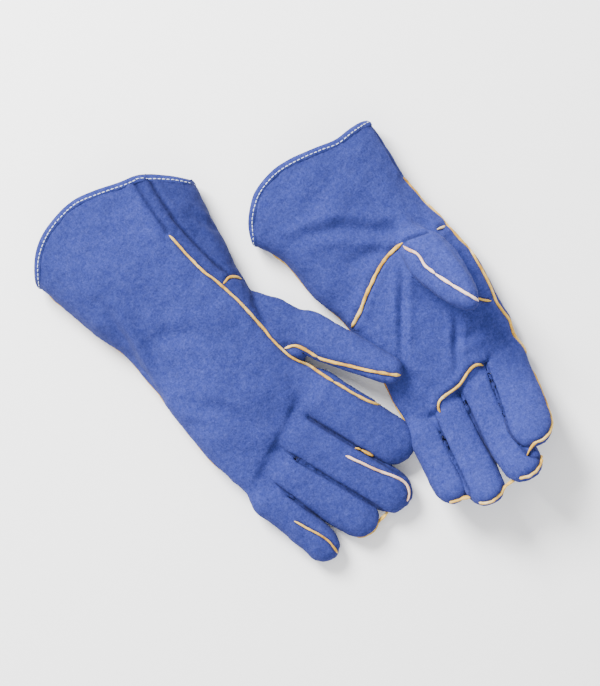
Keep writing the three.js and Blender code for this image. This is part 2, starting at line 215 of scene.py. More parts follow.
def tube_faces(rings, sides, closed=False):
    """Faces between rings of vertices that follow each other, and over both ends unless closed."""
    faces = []
    for i in range(rings if closed else rings - 1):
        near, far = i * sides, (i + 1) % rings * sides
        for k in range(sides):
            n = (k + 1) % sides
            faces.append((near + k, near + n, far + n, far + k))
    if not closed:
        faces.append(tuple(reversed(range(sides))))
        faces.append(tuple(range((rings - 1) * sides, rings * sides)))
    return faces


def main_tube(glove):
    """The hand and cuff of a glove as one closed loft, from past the hem to the knuckles."""
    rings = []
    for y, low, high, top, seam, slope in spline(glove["rows"], 40):
        half = (high - low) / 2
        ring = []
        for across, height in section(half, top - seam, seam, glove["crown"], 1.5):
            x = (low + high) / 2 + across
            ring.append(on_bench(glove, x, y + slope * across, seam + height))
        rings.append(ring)
    return loft(rings)


def on_bench(glove, x, y, z):
    """A point given in millimetres from a glove's wrist, with z counted from the bench."""
    wrist = glove["wrist"]
    return Vector((wrist.x + x * MM, wrist.y + y * MM, z * MM))


def digit_line(digit, fan=0.0):
    """A digit's centre line from behind its hinge to its tip, turned sideways by fan."""
    start, ahead, normal = digit["start"], digit["ahead"], digit["normal"]
    length, curl = digit["length"], digit["curl"]
    turn = Matrix.Rotation(fan, 3, "Z")
    points = [start - ahead * digit["root"]]
    steps = 14
    for i in range(steps + 1):
        if not curl:
            reach = ahead * length * i / steps
        else:
            radius = length / curl
            turned = curl * i / steps
            reach = ahead * radius * math.sin(turned) + normal * radius * (1 - math.cos(turned))
        points.append(start + turn @ reach)
    return [Vector(p) for p in spline(points, 34)]


def digit_width(digit, share):
    """Half width of a digit at a share of its centre line, root included."""
    return digit["half_width"] * np.interp(share, (0, 0.25, 0.5, 0.75, 1), digit["widths"])


def digit_loft(digit):
    """A digit as a closed loft from behind its hinge to its rounded tip, DEFLATE thinner than it is."""
    line = digit_line(digit, digit["fan"])
    steps = [0.0] + [(b - a).length for a, b in zip(line, line[1:])]
    run = np.cumsum(steps)
    side = Matrix.Rotation(digit["fan"], 3, "Z") @ digit["side"]
    rings = []
    for i, point in enumerate(line):
        tangent = (line[min(i + 1, len(line) - 1)] - line[max(i - 1, 0)]).normalized()
        normal = tangent.cross(side).normalized()
        normal = -normal if normal.dot(digit["normal"]) < -0.2 else normal
        share = run[i] / run[-1]
        cap = digit["half_width"] * 0.9
        round_off = math.sqrt(max(0.03, 1 - max(0, 1 - (run[-1] - run[i]) / cap) ** 2))
        width = (digit_width(digit, share) - DEFLATE) * round_off
        tall = digit["half_height"] * np.interp(share, (0, 0.3, 0.6, 1), (1.2, 1.12, 1, 0.92))
        height = (tall - DEFLATE) * round_off
        rings.append([point + side * across + normal * rise
                      for across, rise in section(width, height, height, 0.7, 1.2)])
    return loft(rings)


def blob(glove, x, y, z, *radii):
    """A closed egg of leather volume, where the hand fills out between two other volumes."""
    rings = []
    for turn in np.linspace(0.08, math.pi - 0.08, 12):
        rings.append([
            on_bench(glove, x + radii[0] * math.sin(turn) * math.cos(a),
                     y - radii[1] * math.cos(turn), z + radii[2] * math.sin(turn) * math.sin(a))
            for a in np.linspace(0, 2 * math.pi, 16, endpoint=False)])
    return loft(rings)


def joined(name, parts):
    """One mesh object of several (vertices, faces)."""
    verts, faces = [], []
    for part_verts, part_faces in parts:
        base = len(verts)
        verts.extend(part_verts)
        faces.extend(tuple(i + base for i in face) for face in part_faces)
    return new_mesh_object(name, verts, faces)


def remeshed(obj, voxel):
    """The object's volume as clean arrays of vertices and faces, by a voxel remesh."""
    modifier = obj.modifiers.new("remesh", "REMESH")
    modifier.mode = "VOXEL"
    modifier.voxel_size = voxel
    graph = bpy.context.evaluated_depsgraph_get()
    mesh = obj.evaluated_get(graph).to_mesh()
    verts = np.empty(len(mesh.vertices) * 3)
    mesh.vertices.foreach_get("co", verts)
    faces = np.empty(len(mesh.polygons) * 4, int)
    mesh.polygons.foreach_get("vertices", faces)
    bpy.data.objects.remove(obj)
    return verts.reshape(-1, 3), faces.reshape(-1, 4)


# ------------------------------------------------------------------ working on the skin

class Skin:
    """A quad mesh as arrays, with the few things that soft work on it needs."""

    def __init__(self, verts, faces):
        self.v = verts
        self.f = faces
        edges = np.unique(np.sort(edges_of(faces), axis=1), axis=0)
        self.a, self.b = edges[:, 0], edges[:, 1]
        self.degree = np.bincount(edges.ravel(), minlength=len(verts)).astype(float)[:, None]

    def average(self, values):
        """At each vertex, the mean of its neighbours' values."""
        total = np.zeros_like(values)
        for k in range(values.shape[1]):
            total[:, k] = (np.bincount(self.a, values[self.b, k], len(values))
                           + np.bincount(self.b, values[self.a, k], len(values)))
        return total / self.degree

    def smooth(self, times, amount=0.5):
        for _ in range(times):
            self.v = self.v + amount * (self.average(self.v) - self.v)

    def normals(self):
        """Outward directions at the vertices."""
        p = self.v[self.f]
        cross = np.cross(p[:, 2] - p[:, 0], p[:, 3] - p[:, 1])
        n = np.zeros_like(self.v)
        for k in range(4):
            for axis in range(3):
                n[:, axis] += np.bincount(self.f[:, k], cross[:, axis], len(self.v))
        return n / np.maximum(np.linalg.norm(n, axis=1, keepdims=True), 1e-12)

    def push(self, distance):
        """Moves each vertex outwards."""
        self.v = self.v + self.normals() * np.asarray(distance)[:, None]

    def tree(self):
        return BVHTree.FromPolygons([tuple(p) for p in self.v], self.f.tolist())


def fold(skin, line, width, depth):
    """A soft valley along a line seen from above, with low shoulders, in the leather that faces up."""
    distance, along = line_distance(skin.v[:, :2], line)
    fade = np.sin(np.pi * np.clip(along, 0.02, 0.98)) ** 0.5
    x = distance / width
    shape = -np.exp(-x ** 2) + 0.45 * np.exp(-((x - 2.1) / 0.9) ** 2)
    return depth * shape * fade * smooth_step(0.1, 0.5, skin.normals()[:, 2])


# ------------------------------------------------------------------ the two gloves

def digit_spec(name, digit, curled, shift=(0, 0), tip_shift=(0, 0, 0), **look):
    """A digit's hinge, directions, length and curl, read from the frame."""
    joint = JOINTS[f"{name}_{digit}_bend"]
    hinge = Vector(joint["pos_m"])
    points = [v.co for v in frame["nodes"][f"{name}_{digit}_welt"].data.vertices]
    far = max(points, key=lambda p: (p - hinge).length)
    end = [p for p in points if (p - far).length < 14 * MM]
    tip = sum(end, Vector()) / len(end) + Vector(tip_shift) * MM
    start = hinge + Vector((*shift, 0)) * MM
    reach = tip - start
    ahead = Vector((reach.x, reach.y, 0)).normalized()
    normal = UP.copy()
    length, curl = reach.length + 5 * MM, 0.0
    if curled:
        curl = 2 * math.atan2(reach.z, reach.dot(ahead))
        length *= (curl / 2) / math.sin(curl / 2)
    else:
        ahead = reach.normalized()
        normal = (normal - ahead * normal.dot(ahead)).normalized()
    spec = {
        "start": start, "ahead": ahead, "normal": normal, "length": length,
        "side": normal.cross(ahead).normalized(), "curl": curl, "root": 16 * MM, "fan": 0.0,
        "widths": (0.95, 1.0, 1.02, 1.0, 0.92), "bend_from": 16 * MM, "bend_to": 42 * MM,
    }
    spec.update(look)
    return spec


def glove_spec(name, **spec):
    """A glove's numbers with its wrist and digits read from the frame."""
    spec["name"] = name
    spec["wrist"] = Vector(JOINTS[f"{name}_wrist"]["pos_m"])
    spec["digits"] = {d: digit_spec(name, d, **look) for d, look in spec["digits"].items()}
    return spec


# Outlines are millimetres from the wrist hinge, with y past the wrist towards the hem.
# rows: y, the edges at low and high x, top, height of the seam, slope. web: x, y, z and three radii.
# hem, main_seam, creases and welts are lines seen from above; folds are (line, width, depth).
# tip_welts: share of the digit's length where the welt starts up its side (or None), and the two
# angles it turns between at the end. welt_sizes: half width and height. hand_seams stay off digits.
RIGHT = glove_spec(
    "right", palm_up=False, crown=0.75, seed=2, wrist_from=-18,
    # tones: the dye's lightness on the back, cuff and digits; side is painted shade on the panel past the
    # main seam.
    tones={"main": 1.08, "side": 0.84, "cuff": 0.97, "digits": 1.02},
    rows=[
        (146, -68, 98, 46, 14, 0), (106, -62, 92, 46, 14, 0), (73, -59, 85, 45, 14, 0),
        (39, -54, 74, 43, 13, 0), (11, -51, 65, 40, 13, 0), (-15, -54, 57, 38, 12, 0),
        (-45, -58.5, 47, 36, 12, 0.05), (-78, -62, 43, 32, 12, 0.2), (-108, -61, 42, 26, 12, 0.34),
        (-114, -57, 38, 24, 12, 0.34),
    ],
    web=[(45, -58, 14, 10, 14, 10), (47, -74, 13, 8, 13, 8), (16, -110, 12, 7, 12, 8)],
    hem=[(-72, 92), (-66, 103), (-48, 121), (-30, 130), (-10, 133), (8, 132), (24, 126), (45, 116),
         (59, 110), (74, 95), (85, 80), (98, 60)],
    digits={
        "thumb": dict(curled=False, half_width=15.5 * MM, half_height=11 * MM, root=54 * MM,
                      shift=(7, 1), tip_shift=(13, -6, 0), widths=(0.8, 1.2, 1.12, 0.95, 0.75),
                      bend_from=30 * MM, bend_to=56 * MM, fan=math.radians(4)),
        "index": dict(curled=False, half_width=20.5 * MM, half_height=12.5 * MM, shift=(-1, 0),
                      tip_shift=(15, -2, 1), fan=math.radians(7)),
        "middle": dict(curled=False, half_width=19.2 * MM, half_height=12.5 * MM, shift=(-8, -3),
                       tip_shift=(16.5, -6, 0), fan=math.radians(1)),
        "ring": dict(curled=False, half_width=18 * MM, half_height=11.5 * MM, shift=(-7, -2),
                     tip_shift=(9, 1, 0), fan=math.radians(-7)),
        "little": dict(curled=False, half_width=15 * MM, half_height=10.5 * MM, shift=(-3, -1),
                       tip_shift=(5, 1, 0), fan=math.radians(-14)),
    },
    folds=[
        ([(-36, 60), (-39, 45), (-45, 23), (-52, -1), (-59, -26)], 4.5, 3.4),
        ([(-22, 34), (-32, 4), (-44, -24)], 4, 2.0), ([(-50, 44), (-56, 12), (-58, -10)], 3.5, 2.0),
        ([(-30, 12), (-2, -8), (20, -30)], 6, 1.4), ([(-46, -40), (-26, -70), (-18, -96)], 5, 1.4),
        ([(10, -22), (4, -52), (14, -84)], 5, 1.2), ([(52, 80), (58, 46), (56, 20)], 3.5, 1.8),
        ([(64, 60), (74, 34)], 3.5, 1.6), ([(66, -50), (80, -82)], 4, 1.4),
    ],
    main_seam=[(53, 135), (53, 112), (47, 86), (42, 59), (41, 21), (43, 1), (44, -15), (42, -48),
               (41, -68), (43, -82), (47, -92), (50, -106), (55, -127), (61, -147), (70, -164)],
    creases={
        "cuff_side": [(53, 112), (47, 86), (42, 59)],
        "strip_edge": [(65, 110), (58, 86), (53, 59), (52, 21), (54, 3)],
    },
    welts={
        "main": [(42, 59), (41, 40), (41, 21), (43, 1), (44, -15), (42, -48), (41, -68), (43, -82),
                 (47, -92), (50, -106), (55, -127), (61, -147), (70, -164), (74, -176), (75, -185),
                 (72, -194), (63, -201), (54, -204), (44, -201)],
        "thumb_edge": [(93, -149), (79, -130), (67, -110), (58, -95), (54, -79), (50, -72), (43, -69)],
        "thumb_root": [(45, 2), (50, 3), (55, 1), (58, -5)],
        "index_inner": [(27, -165), (30, -172), (32, -180)],
        "middle_inner": [(17, -164), (22, -178), (27, -191), (35, -210), (33, -220), (26, -225)],
        "little_inner": [(-49, -172), (-43, -192), (-41, -204), (-43, -215)],
    },
    outer_welt=[(-80, 92), (-70, 73), (-64, 39), (-61, 11), (-64, -15), (-69, -45), (-72, -78),
                (-70, -104)],
    hand_seams=["thumb_root", "outer"], pale_seams=["middle_inner"],
    tip_welts={"ring": (None, 20, 150)},
    welt_sizes={"ring_tip": (0.8, 1.0), "little_inner": (0.9, 1.1), "thumb_edge": (1.2, 1.5)},
)
LEFT = glove_spec(
    "left", palm_up=True, crown=0.8, seed=1, wrist_from=-18,
    # tones: the dye's lightness on the back, cuff and digits; side is painted shade on the panel past the
    # main seam.
    tones={"main": 1.12, "side": 0.9, "cuff": 0.98, "digits": 1.06},
    rows=[
        (124, -70, 74, 44, 13, 0), (83, -65, 69, 44, 13, 0), (62, -58, 65, 43, 13, 0),
        (40, -58, 60, 41, 12, 0), (14, -60, 57, 39, 11, 0), (-1, -57, 58, 39, 11, 0),
        (-18, -57, 58, 40, 11, 0), (-38, -61, 56, 38, 10, 0), (-60, -66, 52, 35, 10, 0),
        (-86, -74, 45, 31, 10, 0), (-106, -79, 38, 27, 11, 0), (-112, -76, 35, 25, 11, 0),
    ],
    web=[],
    hem=[(-74, 62), (-66, 83), (-57, 97), (-44, 107), (-32, 112), (-14, 113.5), (0, 111), (12, 107),
         (27, 101), (40, 95.5), (54, 94), (67, 91), (80, 82)],
    digits={
        "thumb": dict(curled=False, half_width=17.5 * MM, half_height=10.5 * MM, root=20 * MM,
                      shift=(1, 2), tip_shift=(9, 18, 0), widths=(0.7, 1.1, 1.15, 0.9, 0.45),
                      bend_from=34 * MM, bend_to=62 * MM),
        "index": dict(curled=True, half_width=19 * MM, half_height=12 * MM, tip_shift=(-7, 1, 0),
                      fan=math.radians(6)),
        "middle": dict(curled=True, half_width=18 * MM, half_height=12 * MM, tip_shift=(4, 1, 0),
                       fan=math.radians(1.5)),
        "ring": dict(curled=True, half_width=17 * MM, half_height=11.5 * MM, tip_shift=(1, 1.5, 0),
                     fan=math.radians(-3.5)),
        "little": dict(curled=True, half_width=15 * MM, half_height=11 * MM, tip_shift=(6.5, 6.5, 0),
                       fan=math.radians(-9)),
    },
    folds=[
        ([(-42, 62), (-27, 56), (-4, 40), (14, 18), (42, -2)], 5, 3.2),
        ([(9, -6), (6, -13), (-18, -37), (-41, -60), (-50, -70)], 3, 2.4),
        ([(11, -66), (7, -74), (-7, -88), (-21, -103)], 3, 2.2),
        ([(1, -18), (1, -26), (5, -57), (9, -66)], 3.5, 2.6),
        ([(-54, -64), (-51, -74), (-48, -103)], 4, 2.0), ([(28, -88), (8, -92), (-4, -84)], 4, 1.8),
        ([(46, -18), (44, -44), (38, -68)], 4, 2.6), ([(-40, 74), (-10, 70), (24, 78)], 7, 1.4),
        ([(-30, 20), (-2, 10), (24, -4)], 5, 1.4),
    ],
    main_seam=[(66, 120), (66, 75), (58, 37), (57, 18), (59, 8), (58, -2), (56, -15), (55, -30),
               (55, -40), (52, -54), (47, -70), (43, -81), (40, -87), (38, -102), (35, -123)],
    creases={
        "cuff_side": [(70, 88), (66, 70), (61, 50), (58, 38)],
        "thumb_root": [(19, 1), (26, -1), (34, -5), (48, -12)],
    },
    welts={
        "side": [(58, 37), (57, 18), (59, 8), (58, -2), (56, -15), (55, -30), (55, -40), (52, -54),
                 (47, -70), (43, -81), (40, -87), (38, -102), (35, -123), (31, -138)],
        "wrist": [(-56, -19), (-41, -14), (-28, -8), (-12, -2), (2, 1), (13, 1), (19, 0)],
        "wrist_end": [(47, -12), (52, -14), (57, -15)],
        "thumb_seam": [(18, -2), (18, -6), (21, -13), (20, -19), (18, -24), (19, -33), (21, -46),
                       (25, -63), (28, -75)],
        "crotch": [(31, -73), (34, -78), (38, -83)],
        "finger_base": [(-54, -117), (-53, -113), (-48, -110), (-41, -110), (-31, -112), (-25, -112),
                        (-18, -110), (-10, -109), (-5, -111), (-3, -115)],
    },
    outer_welt=[(-80, 62), (-70, 50), (-69, 14), (-68, -18), (-72, -38), (-77, -60), (-84, -86),
                (-89, -104)],
    hand_seams=["wrist", "wrist_end", "finger_base", "crotch", "outer"], pale_seams=["thumb_seam"],
    tip_welts={"index": (0.42, 10, 115), "middle": (None, 10, 120), "ring": (None, 20, 130),
               "little": (None, 20, 120)},
    welt_sizes={"wrist": (1.4, 1.6), "crotch": (1.0, 1.2), "finger_base": (1.1, 1.2),
                "thumb_seam": (1.2, 1.4)},
)


# ------------------------------------------------------------------ shaping the leather

def nearest_digit(glove, points, fanned=False, digits=DIGITS):
    """For each point: the nearest digit, how far it is past the hinge, its distance from the
    digit's middle as a share of the half width, and how much further the next digit is."""
    closest = np.full(len(points), 1e9)
    second = np.full(len(points), 1e9)
    which = np.zeros(len(points), int)
    reach = np.zeros(len(points))
    for digit in digits:
        i = DIGITS.index(digit)
        d = glove["digits"][digit]
        line = np.array([tuple(p) for p in hinge_line(d, d["fan"] if fanned else 0.0)])
        # Heights are stretched until a straight digit is as tall as it is wide.
        up = np.array(d["normal"])
        stretch = 0 if d["curl"] else d["half_width"] / d["half_height"] - 1
        round_points = points + (points @ up)[:, None] * up * stretch
        round_line = line + (line @ up)[:, None] * up * stretch
        distance, along = line_distance(round_points, round_line)
        total = np.linalg.norm(np.diff(line, axis=0), axis=1).sum()
        behind = (points - line[0]) @ np.array(d["ahead"])
        distance = distance / d["half_width"]
        better = distance < closest
        second = np.where(better, closest, np.minimum(second, distance))
        closest[better] = distance[better]
        which[better] = i
        reach[better] = np.where(along * total > 0.1 * MM, along * total, behind)[better]
    return which, reach, closest, second - closest


def hinge_line(digit, fan=0.0):
    """The part of a digit's centre line that lies past its start."""
    line = digit_line(digit, fan)
    ahead = digit["ahead"]
    return [p for p in line if (p - digit["start"]).dot(ahead) > -1 * MM]


def glove_skin(glove):
    """The outside of a glove as one skin, open at the hem."""
    parts = [main_tube(glove)] + [digit_loft(glove["digits"][digit]) for digit in DIGITS]
    parts += [blob(glove, *numbers) for numbers in glove["web"]]
    skin = Skin(*remeshed(joined(glove["name"] + "_volume", parts), VOXEL))
    skin.smooth(5)
    which, reach, closest, _ = nearest_digit(glove, skin.v, fanned=True)
    near = 1 - smooth_step(BLEND_NEAR, BLEND_FAR, closest)
    skin.push(DEFLATE * smooth_step(-2 * MM, 16 * MM, reach) * near)
    for i, digit in enumerate(DIGITS):
        d = glove["digits"][digit]
        weight = smooth_step(2 * MM, 30 * MM, reach) * near * (which == i)
        turn = -d["fan"] * weight
        place = skin.v[:, :2] - np.array(d["start"][:2])
        c, s = np.cos(turn), np.sin(turn)
        turned = np.column_stack([c * place[:, 0] - s * place[:, 1], s * place[:, 0] + c * place[:, 1]])
        skin.v[:, :2] += turned - place
    skin.smooth(2, 0.4)
    rumple(glove, skin)
    glove["seams"] = {name: seam_line(glove, skin, points) for name, points in glove["welts"].items()}
    glove["seams"]["outer"] = seam_line(glove, skin, glove["outer_welt"], OUTER_SEAM_HEIGHT)
    for digit, angles in glove["tip_welts"].items():
        glove["seams"][digit + "_tip"] = tip_seam(glove, skin, digit, *angles)
    glove["lines"] = {name: seam_line(glove, skin, points) for name, points in glove["creases"].items()}
    crease_seams(glove, skin)
    return cut_hem(glove, skin)


def rumple(glove, skin):
    """Folds where the leather gives, and the unevenness of soft split leather everywhere."""
    move = np.zeros(len(skin.v))
    for points, width, depth in glove["folds"]:
        line = spline([on_bench(glove, x, y, 0).to_2d() for x, y in points], 24)
        move += fold(skin, line, width * MM, depth * MM)
    _, reach, _, _ = nearest_digit(glove, skin.v)
    on_digit = smooth_step(0, 20 * MM, reach)
    move += BROAD_RUMPLE * noise_at(skin.v, BROAD_SIZE, glove["seed"]) * (1 - 0.6 * on_digit)
    move += FINE_RUMPLE * noise_at(skin.v, FINE_SIZE, glove["seed"] + 5, 3)
    skin.push(move)
    skin.v[:, 2] = np.maximum(skin.v[:, 2], 0.2 * MM)


def seam_line(glove, skin, points, side_height=SIDE_SEAM_HEIGHT):
    """A seam drawn from above, laid on the skin: (places, outward directions) a step apart.
    Where the line drops from one part to another below it, only its longest run is kept."""
    tree = skin.tree()
    flat = spline([on_bench(glove, x, y, 0) for x, y in points], SEAM_SAMPLES)
    length = np.linalg.norm(np.diff(flat, axis=0), axis=1).sum()
    flat = spline(flat, max(6, int(length / SEAM_STEP)))
    places, outward = [], []
    for x, y, _ in flat:
        hit, normal, _, _ = tree.ray_cast(Vector((x, y, RAY_HEIGHT)), -UP)
        if hit is None:
            hit, normal, _, _ = tree.find_nearest(Vector((x, y, side_height)))
        places.append(tuple(hit))
        outward.append(tuple(normal))
    steps = np.abs(np.diff([z for _, _, z in places]))
    breaks = [0, *(np.nonzero(steps > SEAM_JUMP)[0] + 1), len(places)]
    start, end = max(zip(breaks, breaks[1:]), key=lambda run: run[1] - run[0])
    return even_seam(places[start:end], outward[start:end])


def tip_seam(glove, skin, digit, side_from, start, end):
    """A seam up one side of a digit from a share of its length (or None) and round its end, from
    one angle to another; 90 degrees is straight ahead."""
    d = glove["digits"][digit]
    line = digit_line(d)
    aims = []
    reach = d["half_width"] * AIM_OUT
    if side_from is not None:
        first = int(side_from * len(line))
        aims = [p + d["side"] * reach for p in line[first:-5]]
    forward = (line[-1] - line[-3]).normalized()
    middle = line[-1] - forward * d["half_width"] * TIP_MIDDLE_BACK
    for angle in np.linspace(math.radians(start), math.radians(end), 40):
        aims.append(middle + forward * (reach * math.sin(angle)) + d["side"] * (reach * math.cos(angle)))
    tree = skin.tree()
    hits = [tree.find_nearest(Vector(aim)) for aim in spline(aims, SEAM_SAMPLES)]
    return even_seam([tuple(hit[0]) for hit in hits], [tuple(hit[1]) for hit in hits])


def even_seam(places, outward):
    """A seam's places and outward directions with the jitter of the faces under it taken out."""
    places, outward = np.array(places), np.array(outward)
    for _ in range(EVENING_ROUNDS):
        places[1:-1] = (places[:-2] + 2 * places[1:-1] + places[2:]) / 4
        outward[1:-1] = (outward[:-2] + 2 * outward[1:-1] + outward[2:]) / 4
    return places, outward / np.linalg.norm(outward, axis=1, keepdims=True)


def crease_seams(glove, skin):
    """Sinks the skin along seams and between digits, puffs it up beside, and keeps how near they are: the
    leather is darker there, partly the pressed seam edge, partly painted shade in the creases and between
    the digits.
    """
    _, reach, _, gap = nearest_digit(glove, skin.v, digits=FINGERS)
    gap = gap * glove["digits"]["middle"]["half_width"] * 0.7
    past_hinge = smooth_step(-4 * MM, 16 * MM, reach)
    flat = smooth_step(0.3, 0.7, np.abs(skin.normals()[:, 2]))
    skin.push(-VALLEY * np.exp(-(gap / GROOVE_WIDTH) ** 2) * past_hinge * flat)
    # Nearness to the gaps between digits, seams and creases, for the darker pressed seam edge and painted
    # shade in the gaps and creases.
    near = gap + 6 * MM * (1 - past_hinge)
    for lines, depth in ((glove["seams"], SEAM_DEPTH), (glove["lines"], CREASE_DEPTH)):
        for places, _ in lines.values():
            low, high = places.min(axis=0) - SEAM_MARGIN, places.max(axis=0) + SEAM_MARGIN
            close = np.nonzero(((skin.v > low) & (skin.v < high)).all(axis=1))[0]
            distance, along = line_distance(skin.v[close], places)
            ends = smooth_step(0, 0.04, along) * smooth_step(0, 0.04, 1 - along)
            groove = -depth * np.exp(-(distance / GROOVE_WIDTH) ** 2)
            puff = PUFF_HEIGHT * np.exp(-((distance - PUFF_AWAY) / PUFF_WIDTH) ** 2)
            move = np.zeros(len(skin.v))
            move[close] = (groove + puff) * ends
            skin.push(move)
            near[close] = np.minimum(near[close], distance + 4 * MM * (1 - ends))
    skin.near_seam = near


def hem_place(glove, x):
    """How far past the wrist the hem lies at a place across the cuff."""
    line = spline(glove["hem"], 80)
    return np.interp(x, line[:, 0], line[:, 1])


def cut_hem(glove, skin):
    """The skin without what lies past the hem, its edge drawn onto the hem line."""
    offset = (skin.v - np.array(glove["wrist"])) / MM
    past = offset[:, 1] - hem_place(glove, offset[:, 0])
    faces = skin.f[past[skin.f].mean(axis=1) < 0]
    used, faces = np.unique(faces, return_inverse=True)
    cut = Skin(skin.v[used], faces.reshape(-1, 4))
    cut.near_seam = skin.near_seam[used]
    cut.past_hem = past[used]
    edge = np.unique(open_edges(cut.f))
    cut.v[edge, 1] -= cut.past_hem[edge] * MM
    return cut


def edges_of(faces):
    """The directed edges of quads, as pairs of vertices."""
    return np.vstack([faces[:, [0, 1]], faces[:, [1, 2]], faces[:, [2, 3]], faces[:, [3, 0]]])


def open_edges(faces):
    """Directed edges that only one face uses."""
    edges = edges_of(faces)
    ordered = np.sort(edges, axis=1)
    _, first, count = np.unique(ordered, axis=0, return_index=True, return_counts=True)
    return edges[first[count == 1]]


# ------------------------------------------------------------------ pieces

def past_main_seam(glove, offset):
    """How far beyond the seam along the thumb's side each place lies, in millimetres."""
    seam = sorted((y, x) for x, y in glove["main_seam"])
    return offset[:, 0] - np.interp(offset[:, 1], [y for y, _ in seam], [x for _, x in seam])


def past_bend(glove, which, reach):
    """Whether each place is past the line where its nearest digit starts to bend."""
    starts = np.array([glove["digits"][digit]["bend_from"] for digit in DIGITS])
    return reach > starts[which]


def parts_of(glove, skin):
    """The body that each face belongs to, as an index into BODIES, and whether it is the upper panel."""
    middle = skin.v[skin.f].mean(axis=1)
    normals = skin.normals()[skin.f].mean(axis=1)
    offset = (middle - np.array(glove["wrist"])) / MM
    which, reach, closest, _ = nearest_digit(glove, middle)
    body = np.where(offset[:, 1] > glove["wrist_from"], CUFF, HAND)
    on_digit = past_bend(glove, which, reach) & (closest < LEATHER_NEAR)
    body[on_digit] = which[on_digit]
    upper = (normals[:, 2] > 0) & ((past_main_seam(glove, offset) < 0) | on_digit)
    return body, upper


def sheet_mesh(name, skin, normals, mask, thickness=LEATHER):
    """Some of the skin's faces as leather of a real thickness, with the whole skin's shading."""
    used, faces = np.unique(skin.f[mask], return_inverse=True)
    faces = faces.reshape(-1, 4)
    outer, outward = skin.v[used], normals[used]
    count = len(used)
    rim = [(b, a, a + count, b + count) for a, b in open_edges(faces)]
    verts = np.vstack([outer, outer - outward * thickness])
    all_faces = np.vstack([faces, faces[:, ::-1] + count, np.array(rim)])
    obj = new_mesh_object(name, verts, all_faces, np.vstack([outward, -outward]))
    # seam: nearness for the darker pressed seam edge and painted shade in creases and between digits;
    # tone: dye tone with painted shade on the side panel.
    for label, values in (("seam", skin.near_seam / MM), ("tone", skin.tone)):
        attribute = obj.data.attributes.new(label, "FLOAT", "POINT")
        attribute.data.foreach_set("value", np.tile(values[used], 2).astype(np.float32))
    return obj


def attach(obj, glove, body, nodes, material):
    """Gives a finished piece its material, hangs a piece of the hand on the hand, and hides the CAD nodes
    that it stands for.
    """
    obj.data.materials.append(material)
    name = glove["name"]
    hand = f"{name}_hand"
    if body == HAND:
        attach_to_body(obj, hand)
    elif body == CUFF:
        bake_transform(obj)
    else:
        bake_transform(obj)
    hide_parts(*[f"{name}_{node}" for node in nodes])


def leather_pieces(glove, skin):
    """The leather panels of a glove, one piece for each side of each body."""
    normals = skin.normals()
    skin.tone = tone(glove, skin)
    body, upper = parts_of(glove, skin)
    top, bottom = ("palm", "back") if glove["palm_up"] else ("back", "palm")
    for index, part in enumerate(BODIES):
        for is_upper, side in ((True, top), (False, bottom)):
            mask = (body == index) & (upper == is_upper)
            panel = side.replace("palm", "front") if index < len(DIGITS) else side
            name = f"{glove['name']}_{part}_{panel}_leather"
            obj = sheet_mesh(name, skin, normals, mask)
            attach(obj, glove, index, [f"{part}_{panel}"], SUEDE)
    for index, part in ((HAND, "hand"), (CUFF, "cuff")):
        lining(glove, skin, normals, index, part, body == index)


def tone(glove, skin):
    """How light the leather is at each vertex: the dye's tone from panel to panel, with painted shade on
    the side panel past the main seam, which turns away from the light.
    """
    offset = (skin.v - np.array(glove["wrist"])) / MM
    beyond = past_main_seam(glove, offset)
    _, reach, closest, _ = nearest_digit(glove, skin.v)
    value = np.full(len(beyond), glove["tones"]["main"])
    # Painted shade: the side panel past the main seam is made darker, as if it lay in shade.
    value += (glove["tones"]["side"] - value) * smooth_step(-0.5, 1.5, beyond)
    cuff = smooth_step(-8, 14, offset[:, 1])
    value += (glove["tones"]["cuff"] - glove["tones"]["main"]) * cuff
    on_digit = smooth_step(0, 25 * MM, reach) * (1 - smooth_step(BLEND_NEAR, BLEND_FAR, closest))
    value += (glove["tones"]["digits"] - value) * on_digit
    return value


def lining(glove, skin, normals, index, part, mask):
    """The cotton tube just inside the leather of the hand or the cuff, short of the hem."""
    _, reach, closest, _ = nearest_digit(glove, skin.v[skin.f].mean(axis=1))
    at_digit = (reach > -8 * MM) & (closest < LINING_CLEAR)
    inside = mask & (skin.past_hem[skin.f].max(axis=1) < -LINING_BACK / MM) & ~at_digit
    used, faces = np.unique(skin.f[inside], return_inverse=True)
    verts = skin.v[used] - normals[used] * (LEATHER + LINING_GAP)
    name = f"{glove['name']}_{part}_cotton_lining"
    obj = new_mesh_object(name, verts, faces.reshape(-1, 4)[:, ::-1], -normals[used])
    attach(obj, glove, index, [f"{part}_lining"], COTTON)


def strip_mesh(name, places, outward, half, proud, seed):
    """A welt: a strip with a rounded, uneven outer edge, standing on its seam line."""
    count = len(places)
    ahead = np.gradient(places, axis=0)
    ahead /= np.linalg.norm(ahead, axis=1, keepdims=True)
    side = np.cross(ahead, outward)
    side /= np.linalg.norm(side, axis=1, keepdims=True)
    wide = half * (1 + 0.28 * noise_at(places, 7 * MM, seed) + 0.15 * noise_at(places, 2.2 * MM, seed + 3))
    tall = proud * (1 + 0.3 * noise_at(places, 9 * MM, seed + 1))
    sway = 0.45 * MM * noise_at(places, 12 * MM, seed + 2)
    ends = np.sqrt(np.clip(np.minimum(np.arange(count), np.arange(count)[::-1]) / 2.5, 0.12, 1))
    verts = []
    for across, up in WELT_SECTION:
        height = np.where(up > 0, up * tall * ends, up * WELT_SUNK)
        verts.append(places + side * (across * wide * ends + sway)[:, None] + outward * height[:, None])
    verts = np.stack(verts, axis=1).reshape(-1, 3)
    return new_mesh_object(name, verts, tube_faces(count, len(WELT_SECTION)))


